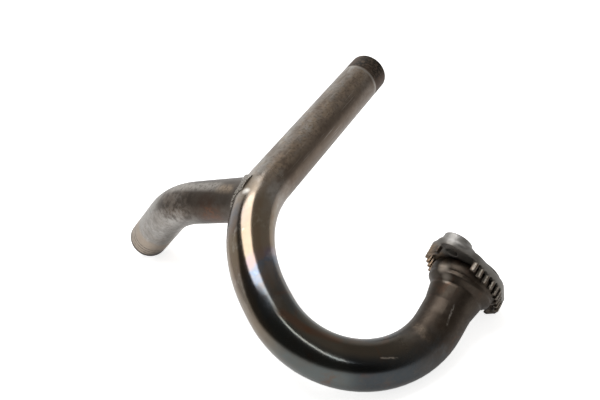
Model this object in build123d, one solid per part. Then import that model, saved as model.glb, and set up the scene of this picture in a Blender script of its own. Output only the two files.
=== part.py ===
from build123d import *
import math
import os

# A motorbike exhaust header pipe with a branch and a loose stud flange.
# Lengths are millimetres and angles are degrees.

# Tube stock: 1.5 inch header tube, the same for the main pipe and the branch.
tube_radius = 19.05
tube_wall = 1.6

# Main pipe, from the leg's open end to the port.
leg_length = 195.0
upper_bend_radius = 116.8
upper_bend_angle = 59.9
plane_twist = 13.1
middle_length = 6.8
lower_bend_radius = 73.4
lower_bend_angle = 118.8
cant_twist = 81.9
cant_radius = 38.0
cant_angle = 11.4
neck_length = 5.8

# Port end, measured along the port axis from the neck.
port_length = 42.5
cone_start = 2.5
cone_end = 14.0
cone_radius = 21.4
valley_end = 16.2
bell_radius = 26.0
bell_start = 20.8
bell_end = 29.5
seat_radius = 22.3
seat_start = 33.0
lip_length = 3.2
lip_radius = 24.6
swage_fillet = 2.2

# Branch pipe, from the main pipe's centre line to its own open end.
# Its two straight runs lean away from the leg's line and roll about it.
branch_station = 22.0
branch_run_length = 109.9
branch_run_lean_angle = 96.1
branch_run_roll_angle = -128.4
branch_tail_length = 99.6
branch_tail_lean_angle = 99.2
branch_tail_roll_angle = -101.9
branch_bend_radius = 130.0

# Weld bead round the saddle joint of the branch.
bead_height = 2.0

# Stud flange, a casting that hangs loose on the seat behind the lip.
flange_height = 13.4
flange_start = 25.6
flange_turn = -27.0
flange_half_width = 29.6
corner_along = 24.0
corner_across = 8.0
corner_radius = 15.0
plate_thickness = 5.2
boss_height = 6.0
boss_radius = 11.6
stud_offset = 33.5
stud_hole_radius = 4.5
rib_count = 9
rib_pitch = 7.3
rib_width = 2.6
rib_depth = 6.0
recess_radius = 27.0
recess_depth = 6.8
recess_cone = 2.4
seat_clearance = 0.08
lip_clearance = 0.3

# A cut runs this far past the face that it opens.
overrun = 1.0

# Rest attitude: turns about X, Y and Z that stand the pipe on its lower bend, the branch's
# rim and the flange's lower lug.
rest_turns = (26.25, 26.609, -129.947)


class Stretch:
    """A straight or bent stretch of a tube's centre line."""

    def __init__(self, start, along, toward, length=0.0, radius=0.0, angle=0.0):
        self.start = start
        self.along = along
        self.toward = toward
        self.length = length
        self.radius = radius
        self.angle = angle

    def axis(self):
        centre = self.start + self.toward * self.radius
        return Axis(centre, self.along.cross(self.toward))

    def end(self):
        """The next stretch's start point, direction and side."""
        if self.radius == 0:
            return self.start + self.along * self.length, self.along, self.toward
        axis = self.axis()
        turned = turn_point(self.start, axis, self.angle)
        along = self.along.rotate(Axis((0, 0, 0), axis.direction), self.angle)
        toward = self.toward.rotate(Axis((0, 0, 0), axis.direction), self.angle)
        return turned, along, toward

    def solid(self, radius):
        section = Plane(origin=self.start, x_dir=self.toward, z_dir=self.along)
        if self.radius == 0:
            return section * Cylinder(radius, self.length, align=(Align.CENTER, Align.CENTER, Align.MIN))
        return revolve(section * Circle(radius), self.axis(), self.angle)


def turn_point(point, axis, angle):
    arm = point - axis.position
    return axis.position + arm.rotate(Axis((0, 0, 0), axis.direction), angle)


def rod(stretches, radius):
    """Round bar that follows the stretches."""
    body = stretches[0].solid(radius)
    for stretch in stretches[1:]:
        body += stretch.solid(radius)
    return body


def main_route():
    """Stretches from the leg's open end to the neck; the leg lies along +X."""
    steps = [
        dict(length=leg_length),
        dict(radius=upper_bend_radius, angle=upper_bend_angle),
        dict(twist=plane_twist, length=middle_length),
        dict(radius=lower_bend_radius, angle=lower_bend_angle),
        dict(twist=cant_twist, radius=cant_radius, angle=cant_angle),
        dict(length=neck_length),
    ]
    point, along, toward = Vector(0, 0, 0), Vector(1, 0, 0), Vector(0, 1, 0)
    route = []
    for step in steps:
        twist = step.pop("twist", 0.0)
        toward = toward.rotate(Axis((0, 0, 0), along), twist)
        route.append(Stretch(point, along, toward, **step))
        point, along, toward = route[-1].end()
    return route


def heading(lean, roll):
    """Direction that leans away from the leg's line and rolls about it."""
    return Vector(1, 0, 0).rotate(Axis.Z, lean).rotate(Axis.X, roll)


def branch_route():
    """Stretches of the branch, from the main centre line round its soft corner to the open end."""
    turned = math.degrees(branch_station / upper_bend_radius)
    root = turn_point(main[1].start, main[1].axis(), turned)
    first = heading(branch_run_lean_angle, branch_run_roll_angle)
    second = heading(branch_tail_lean_angle, branch_tail_roll_angle)
    angle = first.get_angle(second)
    setback = branch_bend_radius * math.tan(math.radians(angle / 2))
    toward = (second - first * first.dot(second)).normalized()
    run_in = Stretch(root, first, toward, length=branch_run_length - setback)
    point, along, toward = run_in.end()
    corner = Stretch(point, along, toward, radius=branch_bend_radius, angle=angle)
    point, along, toward = corner.end()
    run_out = Stretch(point, along, toward, length=branch_tail_length - setback)
    return [run_in, corner, run_out]


def port_profile(wall):
    """Half section of the port end, a wall thickness inside its outer surface."""
    outer = [
        (tube_radius, 0.0),
        (tube_radius, cone_start),
        (cone_radius, cone_end),
        (cone_radius, valley_end),
        (bell_radius, bell_start),
        (bell_radius, bell_end),
        (seat_radius, seat_start),
        (seat_radius, port_length),
    ]
    points = [(radius - wall, height) for radius, height in outer]
    face = Polyline((0, 0), *points, (0, port_length), close=True)
    sketch = make_face(Plane.XZ * face)
    lip_low = port_length - lip_length
    corners = [v for v in sketch.vertices() if v.X > tube_wall and cone_start / 2 < v.Z < lip_low]
    return fillet(corners, swage_fillet)


def port_solid(wall):
    """The port end as a solid of revolution on the port frame."""
    return port_frame * revolve(port_profile(wall), Axis.Z, 360)


def ring(outer, inner, height, low):
    tall = (Align.CENTER, Align.CENTER, Align.MIN)
    return Pos(0, 0, low) * (Cylinder(outer, height, align=tall) - Cylinder(inner, height, align=tall))


def make_main_pipe():
    lip = port_frame * ring(lip_radius, seat_radius - tube_wall, lip_length, port_length - lip_length)
    outside = rod(main, tube_radius) + port_solid(0) + lip
    inside = rod(main, tube_radius - tube_wall) + port_solid(tube_wall)
    opening = rod(branch, tube_radius - tube_wall)
    return outside - inside - opening


def make_branch_pipe():
    tube = rod(branch, tube_radius) - rod(branch, tube_radius - tube_wall)
    return tube - rod(main[:2], tube_radius)


def make_branch_weld():
    """Fillet bead: what lies within a bead's height of both tubes and inside neither."""
    reach = tube_radius + bead_height
    round_branch = branch[0].solid(reach) - branch[0].solid(tube_radius)
    round_main = rod(main[:2], reach) - rod(main[:2], tube_radius)
    return round_branch & round_main


def flange_outline():
    """Round middle drawn out to two broad ends, each with a round nose at its stud."""
    edges = Circle(flange_half_width).edges()
    for x in (-corner_along, corner_along):
        for y in (-corner_across, corner_across):
            edges += (Pos(x, y) * Circle(corner_radius)).edges()
        nose = stud_offset if x > 0 else -stud_offset
        edges += (Pos(nose, 0) * Circle(boss_radius)).edges()
    return make_hull(edges)


def flange_bore():
    """Stepped bore: a recess round the bell, a cone, the seat and a counterbore for the lip."""
    seat = seat_radius + seat_clearance
    counterbore = lip_radius + lip_clearance
    lip_low = port_length - lip_length - flange_start - lip_clearance
    top = flange_height + boss_height + overrun
    profile = Polyline(
        (0, -overrun),
        (recess_radius, -overrun),
        (recess_radius, recess_depth),
        (seat, recess_depth + recess_cone),
        (seat, lip_low),
        (counterbore, lip_low),
        (counterbore, top),
        (0, top),
        close=True,
    )
    return revolve(make_face(Plane.XZ * profile), Axis.Z, 360)


def make_flange():
    """Plate on the port side with a boss at each stud and short ribs round its pipe side."""
    outline = flange_outline()
    rim = outline - offset(outline, -rib_depth)
    ribs = Sketch()
    for index in range(rib_count):
        place = (index - (rib_count - 1) / 2) * rib_pitch
        ribs += rim & (Pos(place, 0) * Rectangle(rib_width, 4 * flange_half_width))
    body = Pos(0, 0, flange_height - plate_thickness) * extrude(outline, plate_thickness)
    body += extrude(ribs, flange_height - plate_thickness)
    for side in (-1, 1):
        boss = Pos(side * stud_offset, 0, flange_height) * extrude(Circle(boss_radius), boss_height)
        hole = Pos(side * stud_offset, 0, flange_height / 2) * Cylinder(stud_hole_radius, 2 * flange_height)
        body = body + boss - hole
    return flange_frame * (body - flange_bore())


main = main_route()
neck_point, port_axis, port_side = main[-1].end()
port_frame = Plane(origin=neck_point, x_dir=port_side, z_dir=port_axis)
flange_frame = port_frame * Pos(0, 0, flange_start) * Rot(0, 0, flange_turn)
branch = branch_route()

pieces = {
    "main_pipe": make_main_pipe(),
    "branch_pipe": make_branch_pipe(),
    "branch_weld": make_branch_weld(),
    "stud_flange": make_flange(),
}

# Stand the pipe in its rest attitude, with its lowest point at Z = 0 and its box centred in plan.
attitude = Rot(*rest_turns)
turned = {name: attitude * piece for name, piece in pieces.items()}
box = Compound(children=[Compound([piece]) for piece in turned.values()]).bounding_box()
shift = Pos(-box.center().X, -box.center().Y, -box.min.Z)

os.makedirs("parts", exist_ok=True)
for name, piece in turned.items():
    export_step(shift * piece, f"parts/{name}.step")
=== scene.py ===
import math

import bpy
from mathutils import Matrix, Vector


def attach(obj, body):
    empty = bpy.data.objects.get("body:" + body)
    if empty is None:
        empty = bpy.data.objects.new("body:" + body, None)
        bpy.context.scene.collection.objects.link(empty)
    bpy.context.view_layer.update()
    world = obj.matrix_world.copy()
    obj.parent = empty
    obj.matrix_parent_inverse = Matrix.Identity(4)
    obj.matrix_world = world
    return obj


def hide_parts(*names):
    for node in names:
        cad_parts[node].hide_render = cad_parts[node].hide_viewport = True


bl_info = {
    "name": "Exhaust Header Pipe Finish",
    "version": (1, 0, 0),
    "blender": (4, 5, 0),
    "location": "View3D > Sidebar > Header Pipe",
    "description": "Heat-tinted tube, rippled weld and cast flange for a motorbike header pipe",
    "category": "Object",
}

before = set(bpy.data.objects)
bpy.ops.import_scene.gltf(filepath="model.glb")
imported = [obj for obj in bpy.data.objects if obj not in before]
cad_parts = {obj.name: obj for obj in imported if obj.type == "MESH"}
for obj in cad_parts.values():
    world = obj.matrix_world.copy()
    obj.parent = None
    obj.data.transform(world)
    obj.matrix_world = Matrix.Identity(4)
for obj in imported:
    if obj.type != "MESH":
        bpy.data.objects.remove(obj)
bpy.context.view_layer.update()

# The pipe's own directions in the row frame: X runs from the leg's open end along the leg, and
# the upper bend turns from X towards Y. Lengths in the patterns are millimetres.
LEG_END = Vector((107.31, 157.13, 124.84))
PIPE_X = Vector((-0.57407, -0.81477, -0.08115))
PIPE_Y = Vector((0.68544, -0.42399, -0.59195))
PIPE_Z = Vector((0.4479, -0.39544, 0.80188))
TUBE_RADIUS = 19.05
TUBE_WALL = 1.6
LEG_LENGTH = 195.0
LEG_RIGHT = Vector((0.0, 0.9237, 0.3831))

# Radii between which the soot of a tube's inside fades out, within the wall.
BORE_EDGE = (TUBE_RADIUS - TUBE_WALL, TUBE_RADIUS - TUBE_WALL / 2)

# Length along the main pipe over which the stops of its heat colours are spread.
MAIN_LENGTH = 530.0

# Millimetres in a metre, once and for each axis.
METRE = 1000.0
MILLIMETRES = (METRE, METRE, METRE)

X_AXIS = Vector((1.0, 0.0, 0.0))
Y_AXIS = Vector((0.0, 1.0, 0.0))
Z_AXIS = Vector((0.0, 0.0, 1.0))

# Each bend: centre, unit vector from the centre to where it starts, direction there, radius, turn.
UPPER_BEND = ((195.0, 116.8, 0.0), (0.0, -1.0, 0.0), (1.0, 0.0, 0.0), 116.8, 59.9)
LOWER_BEND = (
    (237.61, 99.96, 16.64),
    (0.84264, -0.48846, -0.22665),
    (0.50151, 0.86515, 0.0),
    73.4,
    118.8,
)

# Stretches of the main pipe where a finish fades in or out, in length from the leg's open end.
BAND_EDGE = (20.0, 24.0)
LINE_RISE = (21.5, 23.0)
LINE_FALL = (24.0, 26.0)
LEG_FALL = (185.0, 235.0)
LEG_SOOT_FALL = (LEG_LENGTH - 20.0, LEG_LENGTH - 5.0)
GLOSS_RISE = (175.0, 235.0)
GLOSS_FALL = (400.0, 450.0)
WARM_RISE = (215.0, 250.0)
WARM_FALL = (322.0, 352.0)
CLOUD_FALL = (285.0, 330.0)
SCALE_RISE = (420.0, 462.0)

# Bands on the lower bend: low, high and the soft width.
FLANK_RUN = (292.0, 335.0, 8.0)
SCORCH_RUN = (300.0, 440.0, 15.0)
SCORCH_REACH = (-11.0, 5.0, 4.0)

# Fine grain of both tubes: the noise's scale, detail and roughness.
FINE_GRAIN = (0.32, 6.0, 0.75)

# Along the pipe's own Y: between these the lower bend's length starts to count.
PAST_LEG = (25.0, 40.0)

# Marks of use, in the row frame: start, end and the surface's normal.
BROWN_STREAKS = (
    ((-13.3, -131.3, 72.9), (3.0, -142.0, 61.0), (0.3, -0.43, 0.84)),
    ((3.0, -142.0, 61.0), (23.9, -147.7, 49.8), (0.42, -0.2, 0.88)),
)
BEIGE_RUN = ((81.5, -133.0, 39.5), (86.5, -146.0, 35.5), (0.06, -0.25, 0.96))
SCRATCHES = (
    ((49.9, -159.7, 37.3), (61.1, -159.2, 33.9), (0.25, -0.59, 0.76)),
    ((103.5, -136.2, 34.9), (112.6, -124.2, 42.2), (0.26, -0.62, 0.73)),
)
# A painted highlight on the branch near the weld, given the same way.
BRANCH_HIGHLIGHT = ((-48.0, -3.0, 114.5), (-37.0, -14.0, 116.5), (-0.3, -0.3, 0.9))
BRANCH_CREST = ((-48.0, 0.0, 114.7), (-96.0, 50.0, 97.4), (-0.37, 0.0, 0.93))

# Places of single patches, in the row frame.
BLUE_PATCH = (-40.0, -52.0, 111.0)
RUST_SPOTS = (11.8, -164.7, 33.1)
BESIDE_WELD = (-23.0, -25.0, 123.2)
BELOW_WELD = (-13.5, -42.0, 119.0)
# Centre of a painted highlight beside the weld.
WELD_HIGHLIGHT_SPOT = (-24.8, -31.8, 122.1)
# Centres of two painted highlights on the bell's bulge.
BELL_HIGHLIGHTS = ((113.1, -99.3, 60.7), (112.8, -107.5, 56.2))
BRANCH_ROOT = (-48.0, 5.0, 104.0)
BRANCH_DARK = (-86.0, 25.0, 100.0)
BRANCH_RUST = (-58.0, -4.0, 92.0)
BRANCH_STREAK = (-58.0, -5.0, 89.0)

# Port end, in the row frame.
NECK = Vector((108.0, -112.88, 27.55))
PORT_AXIS = Vector((0.67456, 0.61756, 0.40445))
PORT_SIDE = Vector((0.01005, -0.55551, 0.83145))
PORT_LENGTH = 48.0

# Where a place counts as the port end: distance from the port axis, and length along it.
PORT_ROUND = (30.0, 36.0)
PORT_RISE = (-6.0, 6.0)

# The same two measures for the soot in the port's mouth.
PORT_BORE = (20.9, 21.4)
PORT_MOUTH = (30.0, 34.0)

# The bell's skin: segments round it; stations, each a distance along the port axis and a radius.
BELL_SEGMENTS = 128
BELL_STATIONS = (
    (-3.0, 19.06),
    (3.0, 19.16),
    (8.0, 20.3),
    (12.0, 21.3),
    (14.5, 21.8),
    (16.0, 22.3),
    (17.5, 23.2),
    (19.0, 24.6),
    (20.5, 25.85),
    (22.5, 26.6),
    (25.0, 26.85),
    (27.5, 26.7),
    (29.5, 26.2),
    (31.0, 25.0),
    (32.3, 23.5),
    (33.2, 22.32),
)

# Stud flange, in its own directions: X runs to the upper lug. Circles of its outline: X, Y, radius.
FLANGE_START = 25.6
FLANGE_TURN = -27.0
RIB_PITCH = 7.3
STUD_OFFSET = 33.5
FLANGE_CIRCLES = (
    (0.0, 0.0, 29.6),
    (24.0, 8.0, 15.0),
    (24.0, -8.0, 15.0),
    (-24.0, 8.0, 15.0),
    (-24.0, -8.0, 15.0),
    (STUD_OFFSET, 0.0, 11.6),
    (-STUD_OFFSET, 0.0, 11.6),
)
PLATE_LOW = 8.2
PLATE_TOP = 13.4
STUD_HOLE = 4.5
COUNTERBORE = 24.9

# Where the cutters start along the port axis, and where the bore and the stud holes end.
HOLLOW_LOW = -1.0
STUD_LOW = -5.0
BORE_LOW = PLATE_TOP - 8.0
CUT_HIGH = PLATE_TOP + 12.0

# Where the casting's colours fade over its height.
DULL_FALL = (8.0, 15.0)
RIB_FALL = (6.0, 8.5)
TAN_FALL = (7.0, 12.0)

# The same across it, from the port axis towards the near side.
NEAR_RISE = (18.0, 22.0)
FAR_FALL = (-14.0, -6.0)

# Dome over each stud: distance from the middle, depth of its centre under the plate's face, and
# half axes along the plate and across it.
DOME_OFFSET = 29.2
DOME_SINK = 0.5
DOME_SPREAD = (15.9, 17.0)

# Walls on each lug's far side: X, Y, angle in degrees, length. All have one thickness and lift.
LUG_WALLS = ((32.2, -18.0, 38.0, 10.0), (38.3, -10.5, 56.0, 12.0))
WALL_THICKNESS = 3.4
WALL_LIFT = 0.9

# Weld, in the pipe's own directions: the branch's root and two directions square to its first run.
WELD_ROOT = Vector((216.87, 2.07, 0.0))
BRANCH_RUN = Vector((-0.1063, -0.6176, -0.7792))
WELD_ACROSS = BRANCH_RUN.cross(X_AXIS).normalized()
WELD_UP = WELD_ACROSS.cross(BRANCH_RUN)

# Branch end, in the row frame, and where its finishes fade in, measured from that end.
BRANCH_END = Vector((-141.8, 111.33, 14.62))
BRANCH_LINE = Vector((-0.48037, 0.59854, -0.64109))
BRANCH_SOOT = (-75.0, -60.0)
BRANCH_PALE = (-40.0, -30.0)
BRANCH_RINGS = (-26.0, -18.0)
BRANCH_RIM = (-5.0, -3.0)

# Heights between which the painted contact shadow under the branch fades out.
CONTACT_SHADOW_HEIGHTS = (3.0, 10.0)

# Points of a mesh that lie closer than this, in metres, become one.
MERGE_DISTANCE = 0.00001

# Studio: places in metres. Each lamp: place, turn about the vertical in degrees, sides.
CAMERA_PLACE = (0.01603, -0.593, 0.42045)
SENSOR_WIDTH = 36.0
SOFTBOX = ((-0.13, 0.08, 0.95), 0.0, (0.58, 0.82))
STRIP = ((0.20, -0.75, 0.85), 24.0, (0.06, 0.75))
WHITE = (1.0, 1.0, 1.0)
FLOOR_PAINT = (0.86, 0.86, 0.86)
CEILING_TONE = (1.0, 0.92, 0.82)
WALL_TONE = (1.0, 0.99, 0.97)


def length_field(name, description, value):
    """A size in metres that a user may change."""
    settings = {"default": value, "min": 0.0, "unit": "LENGTH", "precision": 5}
    return bpy.props.FloatProperty(name=name, description=description, **settings)


def colour_field(name, description, value):
    """A colour that a user may change."""
    settings = {"default": value, "size": 3, "min": 0.0, "max": 1.0, "subtype": "COLOR"}
    return bpy.props.FloatVectorProperty(name=name, description=description, **settings)


def factor_field(name, description, value):
    """A share from 0 to 1 that a user may change."""
    settings = {"default": value, "min": 0.0, "max": 1.0, "subtype": "FACTOR"}
    return bpy.props.FloatProperty(name=name, description=description, **settings)


def angle_field(name, description, degrees):
    """An angle that a user may change, given in degrees."""
    settings = {"default": math.radians(degrees), "subtype": "ANGLE"}
    return bpy.props.FloatProperty(name=name, description=description, **settings)


def power_field(name, description, value):
    """A lamp's power in watts that a user may change."""
    settings = {"default": value, "min": 0.0, "unit": "POWER"}
    return bpy.props.FloatProperty(name=name, description=description, **settings)


def lens_field(name, description, value):
    """A focal length in millimetres that a user may change."""
    settings = {"default": value, "unit": "CAMERA"}
    return bpy.props.FloatProperty(name=name, description=description, **settings)


class HeaderTubeFinish(bpy.types.PropertyGroup):
    """Colours and gloss of the two tubes."""

    steel: colour_field("Weathered steel", "Grey of the weathered leg", (0.36, 0.345, 0.325))
    film: colour_field("Brown film", "Warm film on the leg's right side", (0.235, 0.175, 0.130))
    pale: colour_field("Bare metal", "Scratches and worn lines", (0.55, 0.52, 0.48))
    # Brown stain of the leg and branch; also the painted shade on the leg's right edge.
    stain_and_shade: colour_field("Brown stain", "Baked grime on the leg and branch", (0.125, 0.095, 0.072))
    haze: colour_field("Grey-brown haze", "Thin film on the branch", (0.190, 0.165, 0.140))
    burnt: colour_field("Burnt brown", "Streaks of the leg's end band", (0.092, 0.060, 0.044))
    # Dark brown of the branch's root, rims and blotches, and of the painted contact shadow under
    # it.
    bark_and_shadow: colour_field("Dark brown", "Branch's root and rims, burnt brown", (0.050, 0.039, 0.031))
    # Tan of dry mud; on the branch it also paints a highlight.
    tan: colour_field("Tan patch", "Dry mud bleached by heat", (0.36, 0.285, 0.215))
    soot: colour_field("Soot", "Soot at the open ends and in the bore", (0.016, 0.013, 0.011))
    rust: colour_field("Rust", "Thin rust film", (0.15, 0.062, 0.030))
    # Colour of the painted highlight beside the weld.
    painted_weld_highlight: colour_field("Burnished spot", "Bright spot beside the weld", (0.80, 0.77, 0.72))
    # Colour of the painted highlights on the bell.
    painted_bell_highlight: colour_field("Rubbed bell", "Rubbed places on the bell", (0.80, 0.71, 0.61))
    line: colour_field("Pale line", "Line behind the band on the leg's end", (0.42, 0.40, 0.37))
    straw: colour_field("Straw tint", "First heat colour, on the upper bend", (0.225, 0.180, 0.130))
    lilac: colour_field("Lilac tint", "Second heat colour", (0.200, 0.155, 0.185))
    blue: colour_field("Blue tint", "Third heat colour", (0.135, 0.165, 0.215))
    deep: colour_field("Deep tint", "Blue-green colour of the lower bend", (0.110, 0.122, 0.120))
    navy: colour_field("Navy tint", "Darkest colour, on the rising bend", (0.055, 0.062, 0.068))
    scorch: colour_field("Scorch", "Olive brown along the lower bend", (0.110, 0.088, 0.062))
    olive: colour_field("Olive tint", "Brown heat colour towards the port", (0.062, 0.051, 0.041))
    bend_gloss: factor_field("Bend roughness", "Roughness of the glossy bend", 0.17)
    leg_gloss: factor_field("Leg roughness", "Roughness of the satin leg", 0.34)


class HeaderWeldSizes(bpy.types.PropertyGroup):
    """Sizes and colours of the weld bead."""

    voxel: length_field("Voxel", "Cell of the remesh that rounds the bead", 0.0005)
    ripple_pitch: length_field("Ripple pitch", "Distance from one weld ripple to the next", 0.0024)
    colour: colour_field("Weld grey", "Colour of the bead", (0.32, 0.295, 0.262))
    hollow: colour_field("Weld brown", "Colour of the bead's hollows", (0.06, 0.045, 0.032))


class HeaderFlangeSizes(bpy.types.PropertyGroup):
    """Sizes and colours of the stud flange."""

    voxel: length_field("Voxel", "Cell of the remesh that rounds the casting", 0.0006)
    rib_depth: length_field("Rib depth", "How far the ribs reach in from the outline", 0.0036)
    dome_height: length_field("Dome height", "Height of the dome over each stud", 0.0065)
    iron: colour_field("Cast steel", "Satin grey of the lugs", (0.33, 0.322, 0.312))
    dull: colour_field("Dull steel", "Greenish grey of the plate's edge", (0.17, 0.16, 0.145))
    brown: colour_field("Brown film", "Rust brown in the pockets", (0.095, 0.066, 0.048))
    tan: colour_field("Tan film", "Tan edge on the pipe side", (0.30, 0.215, 0.145))
    # Colour of the painted shade in the pockets between the ribs.
    painted_pocket_shade: colour_field("Pocket black", "Dark pockets between the ribs", (0.018, 0.014, 0.011))
    # Colour of the painted highlight on the ribs' upper edges.
    painted_rib_glint: colour_field("Rib edge", "Rubbed edges of the ribs", (0.78, 0.72, 0.62))
    roughness: factor_field("Roughness", "Roughness of the casting", 0.5)


class HeaderStudio(bpy.types.PropertyGroup):
    """The studio round the pipe."""

    floor_size: length_field("Floor size", "Side of the white floor", 6.0)
    lens: lens_field("Lens", "Camera's focal length", 48.0)
    tilt: angle_field("Tilt", "Camera's tilt below the horizon", 29.42)
    roll: angle_field("Roll", "Camera's roll", -11.4939)
    softbox_power: power_field("Softbox power", "Power of the softbox overhead", 7.6)
    strip_power: power_field("Strip power", "Power of the narrow strip in front", 1.0)
    floor_white: factor_field("Floor white", "Light that the camera sees the floor give", 0.80)
    floor_mirror: factor_field("Floor in mirrors", "Light that the floor gives in reflections", 0.3)
    room: factor_field("Walls", "Brightness of the white walls round the table", 0.75)
    ceiling: factor_field("Ceiling", "Brightness of the dark ceiling", 0.06)


class Wire:
    """A shader output that takes part in arithmetic; each operation adds one Math node."""

    def __init__(self, paint, output):
        self.paint = paint
        self.output = output

    def __add__(self, other):
        return self.paint.math("ADD", self, other)

    __radd__ = __add__

    def __mul__(self, other):
        return self.paint.math("MULTIPLY", self, other)

    __rmul__ = __mul__

    def __sub__(self, other):
        return self.paint.math("SUBTRACT", self, other)

    def __rsub__(self, other):
        return self.paint.math("SUBTRACT", other, self)

    def __truediv__(self, other):
        return self.paint.math("DIVIDE", self, other)


class Paint:
    """A node tree under construction: a material's, or the world's."""

    def __init__(self, owner):
        owner.use_nodes = True
        self.tree = owner.node_tree
        self.tree.nodes.clear()

    def node(self, kind, settings=None, inputs=None, output=0):
        """Adds one node: its settings first, then the values or links of its sockets."""
        node = self.tree.nodes.new(kind)
        for name, value in (settings or {}).items():
            if name == "stops":
                fill_ramp(node.color_ramp, value)
            else:
                setattr(node, name, value)
        for key, value in (inputs or {}).items():
            if isinstance(value, Wire):
                self.tree.links.new(value.output, node.inputs[key])
            elif isinstance(node.inputs[key].default_value, (int, float)):
                node.inputs[key].default_value = value
            else:
                width = len(node.inputs[key].default_value)
                node.inputs[key].default_value = (tuple(value) + (1.0,))[:width]
        return Wire(self, node.outputs[output]) if node.outputs else None

    def math(self, operation, *values):
        return self.node("ShaderNodeMath", {"operation": operation}, dict(enumerate(values)))

    def vector(self, operation, *values, output=0):
        inputs = dict(enumerate(values))
        return self.node("ShaderNodeVectorMath", {"operation": operation}, inputs, output)

    def scale(self, vector, factor):
        """The vector or colour times one factor."""
        inputs = {0: vector, "Scale": factor}
        return self.node("ShaderNodeVectorMath", {"operation": "SCALE"}, inputs)

    def band(self, value, low, high, soft):
        """1 between low and high, fading over the soft width on both sides."""
        rise = self.smooth(value, low - soft, low + soft)
        return rise * (1.0 - self.smooth(value, high - soft, high + soft))

    def dot(self, place, direction):
        return self.vector("DOT_PRODUCT", place, direction, output=1)

    def distance(self, place, point):
        return self.vector("DISTANCE", place, point, output=1)

    def mix(self, factor, low, high):
        """Colour that goes from low to high as the factor goes from 0 to 1."""
        return self.node("ShaderNodeMix", {"data_type": "RGBA"}, {0: factor, 6: low, 7: high}, 2)

    def smooth(self, value, low, high):
        """0 below low, 1 above high and a soft step between them."""
        settings = {"interpolation_type": "SMOOTHSTEP"}
        return self.node("ShaderNodeMapRange", settings, {0: value, 1: low, 2: high})

    def clamp(self, value, low, high):
        return self.math("MINIMUM", self.math("MAXIMUM", value, low), high)

    def noise(self, place, scale, detail=3.0, roughness=0.55, distortion=0.0):
        inputs = {"Vector": place, "Scale": scale, "Detail": detail, "Roughness": roughness}
        return self.node("ShaderNodeTexNoise", {}, {**inputs, "Distortion": distortion})

    def stretch(self, place, scales):
        """The place scaled along each axis, for streaks."""
        return self.vector("MULTIPLY", place, scales)

    def near(self, place, point, inner, outer):
        """1 within inner of a point, fading to 0 at outer."""
        return 1.0 - self.smooth(self.distance(place, point), inner, outer)

    def ramp(self, value, stops):
        return self.node("ShaderNodeValToRGB", {"stops": stops}, {0: value})

    def bump(self, height, distance, strength=1.0, normal=None):
        inputs = {"Height": height, "Distance": distance, "Strength": strength}
        if normal is not None:
            inputs["Normal"] = normal
        return self.node("ShaderNodeBump", {}, inputs)

    def finish(self, inputs):
        """The Principled shader and the output."""
        shader = self.node("ShaderNodeBsdfPrincipled", {}, inputs)
        self.node("ShaderNodeOutputMaterial", {}, {"Surface": shader})


def fill_ramp(ramp, stops):
    """Sets a colour ramp's stops, each a position and a colour."""
    ramp.interpolation = "EASE"
    while len(ramp.elements) < len(stops):
        ramp.elements.new(1.0)
    for element, (position, colour) in zip(ramp.elements, stops):
        element.position = position
        element.color = (*colour, 1.0)


def new_paint(name):
    material = bpy.data.materials.new(name)
    return material, Paint(material)


def places(paint):
    """Place in the row frame and in the pipe's own directions, both in millimetres."""
    place = paint.node("ShaderNodeTexCoord", {}, {}, "Object")
    row = paint.vector("MULTIPLY", place, MILLIMETRES)
    turn = Matrix((PIPE_X, PIPE_Y, PIPE_Z))
    mapping = {"Location": -(turn @ LEG_END), "Rotation": turn.to_euler(), "Scale": MILLIMETRES}
    own = paint.node("ShaderNodeMapping", {}, {"Vector": place, **mapping})
    return row, own


def bend_turn(paint, own, bend):
    """How far round a bend a place is, in millimetres along its centre line."""
    centre, start, along, radius, turn = bend
    arm = paint.vector("SUBTRACT", own, centre)
    half = math.radians(turn) / 2
    middle = Vector(start) * math.cos(half) + Vector(along) * math.sin(half)
    across = Vector(along) * math.cos(half) - Vector(start) * math.sin(half)
    angle = paint.math("ARCTAN2", paint.dot(arm, across), paint.dot(arm, middle))
    return (paint.clamp(angle, -half, half) + half) * radius


def main_run(paint, own, port):
    """Length along the main pipe from the leg's open end."""
    leg = paint.clamp(paint.dot(own, X_AXIS), 0.0, LEG_LENGTH)
    past_leg = paint.smooth(paint.dot(own, Y_AXIS), *PAST_LEG)
    bends = bend_turn(paint, own, UPPER_BEND) + bend_turn(paint, own, LOWER_BEND) * past_leg
    return leg + bends + port


def off_line(paint, place, point, direction):
    """Distance from a straight line, and the length along it from the point."""
    arm = paint.vector("SUBTRACT", place, point)
    along = paint.dot(arm, direction)
    return paint.distance(arm, paint.scale(direction, along)), along


def marks(paint, row, lines, width, soft):
    """Mask of straight marks, each in the plane of its line and the surface's normal."""
    masks = []
    for start, end, normal in lines:
        start, end = Vector(start), Vector(end)
        aside = (end - start).cross(Vector(normal)).normalized()
        offset = paint.math("ABSOLUTE", paint.dot(paint.vector("SUBTRACT", row, start), aside))
        length = (end - start).length
        middle = paint.near(row, (start + end) / 2.0, length * 0.4, length * 0.55 + soft)
        masks.append(middle * (1.0 - paint.smooth(offset, width, width + soft)))
    return sum(masks[1:], masks[0])


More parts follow.
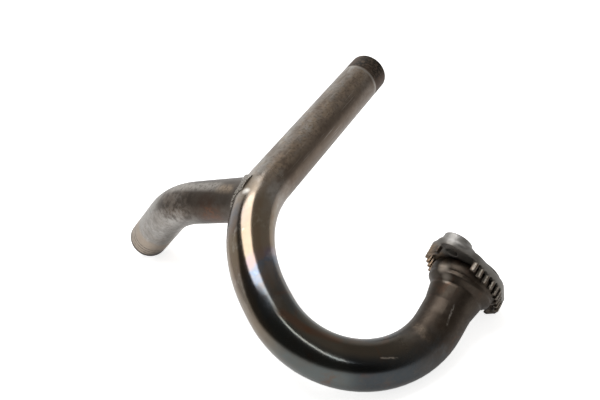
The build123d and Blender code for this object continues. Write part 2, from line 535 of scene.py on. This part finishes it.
def paint_main_pipe(finish):
    """Leg, bends, neck and bell: one tube in one material."""
    material, paint = new_paint("heat_tinted_tube")
    row, own = places(paint)
    port_off, port_along = off_line(paint, row, NECK, PORT_AXIS)
    at_port = (1.0 - paint.smooth(port_off, *PORT_ROUND)) * paint.smooth(port_along, *PORT_RISE)
    run = main_run(paint, own, at_port * paint.clamp(port_along, 0.0, PORT_LENGTH))
    wander = paint.noise(own, 0.03, 3.0) - 0.5
    # Heat colours follow one another along the tube, later on the outside of the lower bend.
    reach = paint.distance(own, LOWER_BEND[0]) - LOWER_BEND[3]
    tint_run = (run + wander * 14.0 - reach * 0.6) / MAIN_LENGTH
    tint = paint.ramp(
        tint_run,
        [
            (0.38, finish.steel),
            (0.46, finish.straw),
            (0.515, finish.straw),
            (0.53, finish.lilac),
            (0.55, finish.blue),
            (0.62, finish.deep),
            (0.70, finish.deep),
            (0.735, finish.navy),
            (0.82, finish.navy),
            (0.87, finish.olive),
            (0.95, finish.olive),
            (1.0, finish.stain_and_shade),
        ],
    )
    # The middle of the bend is browner towards its inside, and darker where it first turns blue.
    middle = paint.band(reach + wander * 10.0, *SCORCH_REACH)
    scorched = middle * paint.band(run, *SCORCH_RUN)
    tint = paint.mix(scorched * 0.6, tint, finish.scorch)
    flank = paint.band(run + wander * 20.0, *FLANK_RUN)
    flank = flank * (1.0 - paint.smooth(reach, -8.0, 4.0))
    tint = paint.mix(flank * 0.6, tint, finish.navy)
    # The outside keeps a warm grey, with a blue patch under the branch.
    outside = paint.smooth(reach + wander * 8.0, 12.0, 17.0)
    outside = outside * (1.0 - paint.smooth(run, *WARM_FALL))
    tint = paint.mix(outside * paint.smooth(run, *WARM_RISE) * 0.8, tint, finish.straw)
    tint = paint.mix(paint.near(row, BLUE_PATCH, 4.0, 22.0) * 0.6, tint, finish.blue)
    # Weathering of the leg: brown film on its right, tan patches, pale lengthwise streaks.
    on_leg = 1.0 - paint.smooth(run, *LEG_FALL)
    side = paint.dot(own, LEG_RIGHT)
    streaks = paint.noise(paint.stretch(own, (0.25, 1.0, 1.0)), 0.07, 4.0, 0.6)
    film = paint.smooth(side + (streaks - 0.5) * 60.0, -14.0, 8.0)
    colour = paint.mix(film * on_leg * 0.8, tint, finish.film)
    stained = paint.smooth(streaks, 0.48, 0.66) * (0.2 + on_leg * 0.55)
    colour = paint.mix(stained, colour, finish.stain_and_shade)
    patches = paint.smooth(paint.noise(own, 0.085, 5.0, 0.62, 0.6), 0.50, 0.66) * on_leg
    colour = paint.mix(patches * 0.75, colour, finish.tan)
    clouds = paint.noise(paint.stretch(own, (0.6, 1.0, 1.0)), 0.032, 3.0, 0.55, 0.6)
    colour = paint.mix(paint.smooth(clouds, 0.50, 0.62) * on_leg * 0.3, colour, finish.stain_and_shade)
    colour = paint.mix((1.0 - paint.smooth(clouds, 0.38, 0.47)) * on_leg * 0.4, colour, finish.pale)
    flecks = paint.smooth(paint.noise(own, 0.13, 5.0, 0.7), 0.44, 0.58)
    flecks = flecks * paint.band(side, 0.0, 12.0, 5.0)
    colour = paint.mix(flecks * on_leg * 0.7, colour, finish.tan)
    # Painted shade: the leg's far right side is darkened with the stain colour.
    edge = paint.smooth(side, 8.0, 16.0) * on_leg
    colour = paint.mix(edge * 0.75, colour, finish.stain_and_shade)
    fine = paint.noise(own, *FINE_GRAIN)
    speckle = paint.smooth(fine, 0.46, 0.64) * (0.14 + on_leg * 0.5)
    colour = paint.mix(speckle, colour, finish.stain_and_shade)
    hair = paint.noise(paint.stretch(own, (0.02, 1.0, 1.0)), 1.1, 3.0, 0.6)
    colour = paint.mix(paint.smooth(hair, 0.60, 0.72) * on_leg * 0.35, colour, finish.pale)
    rust = paint.smooth(paint.noise(own, 0.05, 4.0, 0.6, 0.8), 0.56, 0.72)
    colour = paint.mix(rust * (1.0 - on_leg) * 0.3, colour, finish.rust)
    # The upper bend is clouded brown and grey beside its bright line.
    bend = (1.0 - on_leg) * (1.0 - paint.smooth(run, *CLOUD_FALL))
    smear = paint.noise(paint.stretch(own, (0.5, 0.8, 1.0)), 0.09, 5.0, 0.68)
    colour = paint.mix(paint.smooth(smear, 0.46, 0.60) * bend * 0.55, colour, finish.film)
    colour = paint.mix((1.0 - paint.smooth(smear, 0.36, 0.46)) * bend * 0.35, colour, finish.pale)
    # Marks of use on the lower bend: brown streaks, rust spots, a beige run and two scratches.
    brown = marks(paint, row, BROWN_STREAKS, 1.2, 3.5)
    spots = paint.near(row, RUST_SPOTS, 1.0, 9.0) * paint.smooth(fine, 0.42, 0.6)
    colour = paint.mix(paint.clamp(brown * 0.4 + spots * 0.3, 0.0, 1.0), colour, finish.rust)
    beige = marks(paint, row, (BEIGE_RUN,), 1.5, 4.0)
    colour = paint.mix(beige * paint.smooth(fine, 0.3, 0.6) * 0.4, colour, finish.tan)
    nick = marks(paint, row, SCRATCHES, 0.2, 0.8)
    nick = paint.clamp(nick * paint.smooth(fine, 0.44, 0.54), 0.0, 0.6)
    colour = paint.mix(nick, colour, finish.pale)
    # Beside the branch's weld the tube is greyer, with a painted highlight where the weld's top
    # glints.
    beside = paint.near(row, BESIDE_WELD, 5.0, 17.0)
    colour = paint.mix(beside * 0.7, colour, finish.straw)
    colour = paint.mix(paint.near(row, BELOW_WELD, 3.0, 15.0) * 0.5, colour, finish.straw)
    colour = paint.mix(paint.near(row, WELD_HIGHLIGHT_SPOT, 1.0, 4.5), colour, finish.painted_weld_highlight)
    # Scale and brown blotches round the port, with two painted highlights on the bell.
    scale = paint.smooth(run, *SCALE_RISE)
    crust = paint.smooth(paint.noise(own, 0.13, 5.0, 0.68), 0.36, 0.58)
    colour = paint.mix(scale * crust * 0.8, colour, finish.bark_and_shadow)
    colour = paint.mix(scale * rust * 0.12, colour, finish.rust)
    # Painted highlights: two pale spots where the bell's bulge catches the light.
    upper_highlight, lower_highlight = BELL_HIGHLIGHTS
    painted_bell_highlight = paint.near(row, upper_highlight, 1.0, 7.0) + paint.near(row, lower_highlight, 0.5, 6.0) * 0.4
    colour = paint.mix(paint.clamp(painted_bell_highlight, 0.0, 1.0), colour, finish.painted_bell_highlight)
    # The sleeve that was clamped on the leg's end left a sooty band with a pale line behind it.
    leg_off, _ = off_line(paint, own, (0.0, 0.0, 0.0), X_AXIS)
    from_end = paint.dot(own, X_AXIS) + wander * 5.0
    band = 1.0 - paint.smooth(from_end, *BAND_EDGE)
    grime = paint.mix(paint.smooth(fine, 0.45, 0.6), finish.soot, finish.stain_and_shade)
    grime = paint.mix(paint.smooth(streaks, 0.42, 0.58) * 0.7, grime, finish.burnt)
    colour = paint.mix(band * 0.92, colour, grime)
    line = paint.smooth(from_end, *LINE_RISE) * (1.0 - paint.smooth(from_end, *LINE_FALL))
    colour = paint.mix(line * 0.6, colour, finish.line)
    # Soot inside the tube.
    inside_leg = 1.0 - paint.smooth(leg_off, *BORE_EDGE)
    inside_leg = inside_leg * (1.0 - paint.smooth(from_end, *LEG_SOOT_FALL))
    inside_port = (1.0 - paint.smooth(port_off, *PORT_BORE)) * paint.smooth(port_along, *PORT_MOUTH)
    sooty = paint.math("MAXIMUM", inside_leg, inside_port)
    colour = paint.mix(sooty, colour, finish.soot)
    gloss = paint.smooth(run, *GLOSS_RISE) * (1.0 - paint.smooth(run, *GLOSS_FALL) * 0.95)
    base = finish.leg_gloss + gloss * (finish.bend_gloss - finish.leg_gloss)
    matt = 1.0 - gloss
    roughness = base + band * 0.2 + sooty * 0.35 + beside * 0.25 + scale * 0.1
    roughness = roughness + (fine - 0.5) * (0.03 + matt * 0.12)
    grain = paint.bump(fine * (0.1 + matt * 0.9), 0.00006, 0.4)
    dents = paint.bump(paint.noise(own, 0.05, 2.0), 0.0006, 0.35, grain)
    paint.finish({"Base Color": colour, "Metallic": 1.0, "Roughness": roughness, "Normal": dents})
    return material


def paint_branch(finish):
    """Branch pipe: grey and brown weathering, pale clamp rings near its end."""
    material, paint = new_paint("weathered_branch")
    row, own = places(paint)
    off, along = off_line(paint, row, BRANCH_END, BRANCH_LINE)
    streaks = paint.noise(own, 0.05, 5.0, 0.62, 0.4)
    root = 1.0 - paint.smooth(paint.distance(row, BRANCH_ROOT), 22.0, 56.0)
    film = paint.clamp(paint.smooth(streaks, 0.35, 0.7) * 0.6 + root * 0.6, 0.0, 1.0)
    colour = paint.mix(film, finish.steel, finish.haze)
    fine = paint.noise(own, *FINE_GRAIN)
    # The upper side is dark and mottled, the underside near the weld reddish brown.
    mottle = paint.noise(own, 0.12, 6.0, 0.7)
    high = paint.smooth(paint.dot(row, (-0.3, -0.2, 1.0)) + mottle * 24.0, 105.0, 122.0)
    dark = paint.band(paint.distance(row, BRANCH_DARK), -1.0, 38.0, 14.0) * high
    colour = paint.mix(dark * 0.7 + paint.smooth(fine, 0.46, 0.62) * 0.3, colour, finish.stain_and_shade)
    blotch = paint.smooth(mottle, 0.40, 0.62)
    colour = paint.mix(blotch * (0.3 + dark * 0.6), colour, finish.bark_and_shadow)
    red = paint.near(row, BRANCH_RUST, 8.0, 26.0) * paint.smooth(mottle, 0.36, 0.52)
    colour = paint.mix(red * 0.8, colour, finish.rust)
    colour = paint.mix(root * 0.82, colour, finish.bark_and_shadow)
    streak = paint.near(row, BRANCH_STREAK, 4.0, 18.0) * paint.smooth(fine, 0.42, 0.58)
    colour = paint.mix(streak * 0.6, colour, finish.rust)
    # Painted highlight: a soft tan streak where the branch's top catches the light beside the weld.
    bright = marks(paint, row, (BRANCH_HIGHLIGHT,), 0.3, 6.0)
    colour = paint.mix(bright * paint.smooth(fine, 0.32, 0.55) * 0.8, colour, finish.tan)
    crest = marks(paint, row, (BRANCH_CREST,), 2.0, 5.0)
    colour = paint.mix(crest * paint.smooth(fine, 0.3, 0.55) * 0.5, colour, finish.pale)
    pale = paint.smooth(along + (streaks - 0.5) * 12.0, *BRANCH_PALE)
    colour = paint.mix(pale * 0.75, colour, finish.tan)
    drift = (paint.noise(own, 0.03, 2.0) - 0.5) * 8.0
    rings = paint.math("SINE", along * 1.3 + drift) * paint.smooth(along, *BRANCH_RINGS)
    rings = paint.smooth(rings, 0.3, 0.9) * paint.smooth(fine, 0.3, 0.6)
    colour = paint.mix(rings, colour, finish.bark_and_shadow)
    # Painted contact shadow: the branch's underside, where it rests on the floor, is darkened; its
    # open end gets a dark rim.
    low = 1.0 - paint.smooth(paint.dot(row, Z_AXIS) + (fine - 0.5) * 6.0, *CONTACT_SHADOW_HEIGHTS)
    rim = paint.smooth(along + (fine - 0.5) * 3.0, *BRANCH_RIM)
    colour = paint.mix(paint.clamp(low + rim * 0.8, 0.0, 1.0), colour, finish.bark_and_shadow)
    inside = 1.0 - paint.smooth(off, *BORE_EDGE)
    inside = inside * paint.smooth(along, *BRANCH_SOOT)
    colour = paint.mix(inside, colour, finish.soot)
    roughness = 0.31 + pale * 0.1 + inside * 0.3 + (fine - 0.5) * 0.15
    grain = paint.bump(fine, 0.0001, 0.5)
    paint.finish({"Base Color": colour, "Metallic": 1.0, "Roughness": roughness, "Normal": grain})
    return material


def paint_weld(sizes):
    """Weld bead: tinted grey metal with brown in its hollows."""
    material, paint = new_paint("weld_bead")
    _, own = places(paint)
    fine = paint.noise(own, 0.6, 4.0, 0.65)
    arm = paint.vector("SUBTRACT", own, WELD_ROOT)
    angle = paint.math("ARCTAN2", paint.dot(arm, WELD_ACROSS), paint.dot(arm, WELD_UP))
    count = round(2.0 * math.pi * TUBE_RADIUS / (sizes.ripple_pitch * METRE))
    ripple = paint.math("SINE", angle * count + fine * 3.0)
    hollow = paint.smooth(fine, 0.45, 0.65) * (1.0 - paint.smooth(ripple, -0.2, 0.6))
    colour = paint.mix(hollow, sizes.colour, sizes.hollow)
    ripples = paint.bump(ripple, 0.0005, 0.7)
    grain = paint.bump(fine, 0.0003, 0.5, ripples)
    paint.finish({"Base Color": colour, "Metallic": 1.0, "Roughness": 0.26, "Normal": grain})
    return material


def paint_flange(sizes):
    """Cast steel with rust brown in the pockets and tan on the pipe side."""
    material, paint = new_paint("cast_flange")
    row, own = places(paint)
    _, along = off_line(paint, row, NECK, PORT_AXIS)
    lengthwise = Matrix.Rotation(math.radians(FLANGE_TURN), 3, PORT_AXIS) @ PORT_SIDE
    arm = paint.vector("SUBTRACT", row, NECK)
    near_side = paint.dot(arm, PORT_AXIS.cross(lengthwise))
    turns = paint.dot(arm, lengthwise) * (2.0 * math.pi / RIB_PITCH)
    fine = paint.noise(own, 0.55, 5.0, 0.7)
    broad = paint.noise(own, 0.09, 3.0, 0.6)
    above = along - FLANGE_START + (broad - 0.5) * 4.0
    colour = paint.mix(paint.smooth(broad, 0.45, 0.68) * 0.6, sizes.iron, sizes.dull)
    colour = paint.mix(1.0 - paint.smooth(above, *DULL_FALL), colour, sizes.dull)
    low = 1.0 - paint.smooth(above, *RIB_FALL)
    colour = paint.mix(low * paint.smooth(fine, 0.25, 0.6), colour, sizes.brown)
    # Painted shade makes the pockets between the ribs black, and a painted highlight lights each
    # rib's upper edge.
    painted_pocket_shade = low * (1.0 - paint.smooth(paint.math("COSINE", turns), 0.1, 0.45))
    colour = paint.mix(painted_pocket_shade * 0.7, colour, sizes.painted_pocket_shade)
    # Painted highlight along the upper edge of each rib on the near side.
    painted_rib_glint = low * paint.smooth(paint.math("COSINE", turns - 0.9), 0.92, 0.99) * 0.4
    painted_rib_glint = painted_rib_glint * paint.smooth(near_side, *NEAR_RISE) * paint.smooth(fine, 0.36, 0.5)
    colour = paint.mix(painted_rib_glint, colour, sizes.painted_rib_glint)
    far_edge = 1.0 - paint.smooth(near_side, *FAR_FALL)
    far_edge = far_edge * (1.0 - paint.smooth(above, *TAN_FALL))
    colour = paint.mix(far_edge * paint.smooth(fine, 0.3, 0.62), colour, sizes.tan)
    pit = paint.smooth(fine, 0.60, 0.72)
    colour = paint.mix(pit * 0.5, colour, sizes.brown)
    roughness = sizes.roughness + (fine - 0.5) * 0.2
    grain = paint.bump(fine, 0.0004, 0.5)
    paint.finish({"Base Color": colour, "Metallic": 1.0, "Roughness": roughness, "Normal": grain})
    return material


def dress(piece, material):
    """Gives a piece one material in place of those it has."""
    piece.data.materials.clear()
    piece.data.materials.append(material)


def copy_node(name, new_name):
    """A merged copy of a CAD node's mesh as a piece of its own."""
    bpy.ops.object.select_all(action="DESELECT")
    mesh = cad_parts[name].data.copy()
    piece = bpy.data.objects.new(new_name, mesh)
    bpy.context.collection.objects.link(piece)
    bpy.context.view_layer.objects.active = piece
    piece.select_set(True)
    bpy.ops.object.mode_set(mode="EDIT")
    bpy.ops.mesh.select_all(action="SELECT")
    bpy.ops.mesh.remove_doubles(threshold=MERGE_DISTANCE)
    bpy.ops.mesh.normals_make_consistent(inside=False)
    bpy.ops.object.mode_set(mode="OBJECT")
    return piece


def add_modifier(piece, kind, **settings):
    """Adds a modifier, sets it and applies it."""
    modifier = piece.modifiers.new(kind.title(), kind)
    for name, value in settings.items():
        setattr(modifier, name, value)
    bpy.context.view_layer.objects.active = piece
    bpy.ops.object.modifier_apply(modifier=modifier.name)


def melt(piece, voxel):
    """Rounds a piece's corners: one skin of small cells, smoothed."""
    add_modifier(piece, "REMESH", mode="VOXEL", voxel_size=voxel, use_smooth_shade=True)
    add_modifier(piece, "SMOOTH", factor=0.5, iterations=8)


def port_matrix(start, turn):
    """From directions of a piece on the port axis, in millimetres, to the row frame in metres."""
    side = Matrix.Rotation(math.radians(turn), 3, PORT_AXIS) @ PORT_SIDE
    across = PORT_AXIS.cross(side)
    turned = Matrix((side, across, PORT_AXIS)).transposed().to_4x4()
    origin = (NECK + PORT_AXIS * start) / METRE
    return Matrix.Translation(origin) @ turned @ Matrix.Scale(1.0 / METRE, 4)


def set_place(piece, matrix):
    """Moves a piece by the matrix and leaves its object at the origin."""
    bpy.ops.object.select_all(action="DESELECT")
    bpy.context.view_layer.objects.active = piece
    piece.select_set(True)
    piece.matrix_world = matrix
    bpy.ops.object.transform_apply(location=True, rotation=True, scale=True)


def add_lathe(name, stations, segments):
    """Skin of revolution about Z: a circle extruded from station to station and scaled."""
    bpy.ops.object.select_all(action="DESELECT")
    height, radius = stations[0]
    bpy.ops.mesh.primitive_circle_add(vertices=segments, radius=radius, location=(0.0, 0.0, height))
    piece = bpy.context.object
    piece.name = name
    bpy.ops.object.mode_set(mode="EDIT")
    bpy.ops.mesh.select_all(action="SELECT")
    for next_height, next_radius in stations[1:]:
        rise = {"value": (0.0, 0.0, next_height - height)}
        bpy.ops.mesh.extrude_region_move(TRANSFORM_OT_translate=rise)
        share = next_radius / radius
        bpy.ops.transform.resize(value=(share, share, 1.0))
        height, radius = next_height, next_radius
    bpy.ops.mesh.select_all(action="SELECT")
    bpy.ops.mesh.normals_make_consistent(inside=False)
    bpy.ops.object.mode_set(mode="OBJECT")
    bpy.ops.object.shade_smooth()
    return piece


def add_hull(name, circles, inset, low, high):
    """Prism round a set of circles, drawn in by the inset."""

    def add_post(x, y, radius):
        middle = (x, y, (low + high) / 2)
        settings = {"vertices": 64, "radius": radius - inset, "depth": high - low}
        bpy.ops.mesh.primitive_cylinder_add(location=middle, **settings)

    bpy.ops.object.select_all(action="DESELECT")
    add_post(*circles[0])
    piece = bpy.context.object
    piece.name = name
    set_place(piece, piece.matrix_world.copy())
    bpy.ops.object.mode_set(mode="EDIT")
    for circle in circles[1:]:
        add_post(*circle)
    bpy.ops.mesh.select_all(action="SELECT")
    bpy.ops.mesh.convex_hull()
    bpy.ops.object.mode_set(mode="OBJECT")
    return piece


def cut(piece, cutters):
    """Takes the cutters out of a piece; the cutters stay."""
    for cutter in cutters:
        add_modifier(piece, "BOOLEAN", object=cutter, operation="DIFFERENCE", solver="EXACT")


def join(pieces):
    bpy.ops.object.select_all(action="DESELECT")
    for piece in pieces:
        piece.select_set(True)
    bpy.context.view_layer.objects.active = pieces[0]
    bpy.ops.object.join()
    return pieces[0]


def add_lamp(name, place, turn, size, power):
    """A rectangular lamp that faces down, turned about the vertical."""
    data = bpy.data.lights.new(name, "AREA")
    data.shape = "RECTANGLE"
    data.size, data.size_y = size
    data.energy = power
    lamp = bpy.data.objects.new(name, data)
    lamp.location = place
    lamp.rotation_euler = (0.0, 0.0, math.radians(turn))
    bpy.context.collection.objects.link(lamp)


class HEADER_OT_stage(bpy.types.Operator):
    """White floor, room light, lamps and the camera"""

    bl_idname = "header.stage"
    bl_label = "Stage"

    def execute(self, context):
        studio = context.scene.header_studio
        bpy.ops.object.select_all(action="DESELECT")
        bpy.ops.mesh.primitive_plane_add(size=studio.floor_size, location=(0, 0, 0))
        floor = context.object
        floor.name = "floor"
        material, paint = new_paint("white_floor")
        plain = paint.node("ShaderNodeBsdfDiffuse", {}, {"Color": FLOOR_PAINT})
        dark = paint.node("ShaderNodeEmission", {}, {"Color": WHITE, "Strength": 0.0})
        white = paint.node("ShaderNodeEmission", {}, {"Color": WHITE, "Strength": 1.0})
        seen = paint.node("ShaderNodeLightPath", {}, {}, "Is Camera Ray")
        mirrored = paint.node("ShaderNodeLightPath", {}, {}, "Is Glossy Ray")
        share = seen * studio.floor_white + mirrored * studio.floor_mirror
        glow = paint.node("ShaderNodeMixShader", {}, {0: share, 1: dark, 2: white})
        shader = paint.node("ShaderNodeAddShader", {}, {0: plain, 1: glow})
        paint.node("ShaderNodeOutputMaterial", {}, {"Surface": shader})
        floor.data.materials.append(material)

        world = bpy.data.worlds.new("room")
        context.scene.world = world
        paint = Paint(world)
        direction = paint.node("ShaderNodeTexCoord", {}, {}, "Generated")
        up = paint.dot(direction, Z_AXIS)
        right = paint.dot(direction, X_AXIS)
        back = paint.dot(direction, Y_AXIS)
        # Pale walls at the back and the sides, dark in front; the ceiling is paler to the right.
        depth = paint.smooth(back, -0.15, 0.25)
        wall = 1.0 - paint.smooth(up - depth * 0.60, -0.06, 0.12)
        room = studio.room + paint.smooth(back, 0.5, 0.9) * 0.35
        room = room - paint.smooth(right, -0.1, 0.6) * 0.42
        ceiling = studio.ceiling + paint.smooth(right * 0.8 + back * 0.5, -0.15, 0.4) * 0.25
        level = ceiling + wall * (room - ceiling)
        shade = paint.scale(paint.mix(wall, CEILING_TONE, WALL_TONE), level)
        room = paint.node("ShaderNodeBackground", {}, {"Color": shade, "Strength": 1.0})
        white = paint.node("ShaderNodeBackground", {}, {"Color": WHITE, "Strength": 1.0})
        seen = paint.node("ShaderNodeLightPath", {}, {}, "Is Camera Ray")
        shader = paint.node("ShaderNodeMixShader", {}, {0: seen, 1: room, 2: white})
        paint.node("ShaderNodeOutputWorld", {}, {"Surface": shader})

        add_lamp("softbox", *SOFTBOX, studio.softbox_power)
        add_lamp("strip", *STRIP, studio.strip_power)

        data = bpy.data.cameras.new("camera")
        data.lens = studio.lens
        data.sensor_width = SENSOR_WIDTH
        camera = bpy.data.objects.new("camera", data)
        camera.location = CAMERA_PLACE
        turn = Matrix.Rotation(math.pi / 2 - studio.tilt, 3, "X")
        camera.rotation_euler = (turn @ Matrix.Rotation(studio.roll, 3, "Z")).to_euler()
        context.collection.objects.link(camera)
        context.scene.camera = camera
        context.scene.view_settings.view_transform = "Standard"
        return {"FINISHED"}


class HEADER_OT_tubes(bpy.types.Operator):
    """Finish of the main pipe and the branch pipe"""

    bl_idname = "header.tubes"
    bl_label = "Tubes"

    def execute(self, context):
        finish = context.scene.header_tubes
        tube = paint_main_pipe(finish)
        dress(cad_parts["main_pipe"], tube)
        dress(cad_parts["branch_pipe"], paint_branch(finish))
        bell = add_lathe("port_bell", BELL_STATIONS, BELL_SEGMENTS)
        set_place(bell, port_matrix(0.0, 0.0))
        dress(bell, tube)
        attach(bell, "pipe")
        return {"FINISHED"}


class HEADER_OT_weld(bpy.types.Operator):
    """Rounded, rippled weld bead round the branch"""

    bl_idname = "header.weld"
    bl_label = "Weld bead"

    def execute(self, context):
        sizes = context.scene.header_weld
        piece = copy_node("branch_weld", "rippled_weld")
        melt(piece, sizes.voxel)
        dress(piece, paint_weld(sizes))
        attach(piece, "pipe")
        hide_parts("branch_weld")
        return {"FINISHED"}


class HEADER_OT_flange(bpy.types.Operator):
    """Stud flange with the rounded edges and grain of a casting"""

    bl_idname = "header.flange"
    bl_label = "Stud flange"

    def execute(self, context):
        sizes = context.scene.header_flange
        matrix = port_matrix(FLANGE_START, FLANGE_TURN)
        piece = copy_node("stud_flange", "cast_stud_flange")
        set_place(piece, matrix.inverted())
        hollow = add_hull("hollow", FLANGE_CIRCLES, sizes.rib_depth * METRE, HOLLOW_LOW, PLATE_LOW)
        bore = add_hull("bore", ((0.0, 0.0, COUNTERBORE),), 0.0, BORE_LOW, CUT_HIGH)
        cut(piece, [hollow])
        parts = [piece]
        for side in (1, -1):
            hole = ((side * STUD_OFFSET, 0.0, STUD_HOLE),)
            stud = add_hull("stud", hole, 0.0, STUD_LOW, CUT_HIGH)
            bpy.ops.mesh.primitive_uv_sphere_add(segments=48, ring_count=24, radius=1.0)
            dome = bpy.context.object
            place = Matrix.Translation((side * DOME_OFFSET, 0.0, PLATE_TOP - DOME_SINK))
            set_place(dome, place @ Matrix.Diagonal((*DOME_SPREAD, sizes.dome_height * METRE, 1.0)))
            cut(dome, [hollow, bore, stud])
            bpy.data.objects.remove(stud)
            parts.append(dome)
            # A wall closes the lug's far side, between its first rib and its nose.
            for x, y, angle, length in LUG_WALLS:
                bpy.ops.mesh.primitive_cube_add(size=1.0)
                wall = bpy.context.object
                turn = Matrix.Rotation(math.radians(angle + (0 if side > 0 else 180)), 4, "Z")
                place = Matrix.Translation((side * x, side * y, PLATE_LOW / 2 + WALL_LIFT))
                spread = Matrix.Diagonal((length, WALL_THICKNESS, PLATE_LOW, 1.0))
                set_place(wall, place @ turn @ spread)
                parts.append(wall)
        bpy.data.objects.remove(hollow)
        bpy.data.objects.remove(bore)
        piece = join(parts)
        melt(piece, sizes.voxel * METRE)
        set_place(piece, matrix)
        dress(piece, paint_flange(sizes))
        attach(piece, "flange")
        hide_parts("stud_flange")
        return {"FINISHED"}


class HEADER_PT_panel(bpy.types.Panel):
    """The operators in the order in which they run"""

    bl_idname = "HEADER_PT_panel"
    bl_label = "Exhaust Header Pipe"
    bl_space_type = "VIEW_3D"
    bl_region_type = "UI"
    bl_category = "Header Pipe"

    def draw(self, context):
        for step in STEPS:
            self.layout.operator(step.bl_idname)


STEPS = (HEADER_OT_stage, HEADER_OT_tubes, HEADER_OT_weld, HEADER_OT_flange)
GROUPS = {
    "header_tubes": HeaderTubeFinish,
    "header_weld": HeaderWeldSizes,
    "header_flange": HeaderFlangeSizes,
    "header_studio": HeaderStudio,
}


def register():
    for group in GROUPS.values():
        bpy.utils.register_class(group)
    for name, group in GROUPS.items():
        setattr(bpy.types.Scene, name, bpy.props.PointerProperty(type=group))
    for step in STEPS:
        bpy.utils.register_class(step)
    bpy.utils.register_class(HEADER_PT_panel)


def unregister():
    bpy.utils.unregister_class(HEADER_PT_panel)
    for step in reversed(STEPS):
        bpy.utils.unregister_class(step)
    for name, group in reversed(GROUPS.items()):
        delattr(bpy.types.Scene, name)
        bpy.utils.unregister_class(group)


def main():
    register()
    bpy.ops.header.stage()
    bpy.ops.header.tubes()
    bpy.ops.header.weld()
    bpy.ops.header.flange()


if __name__ == "__main__":
    main()
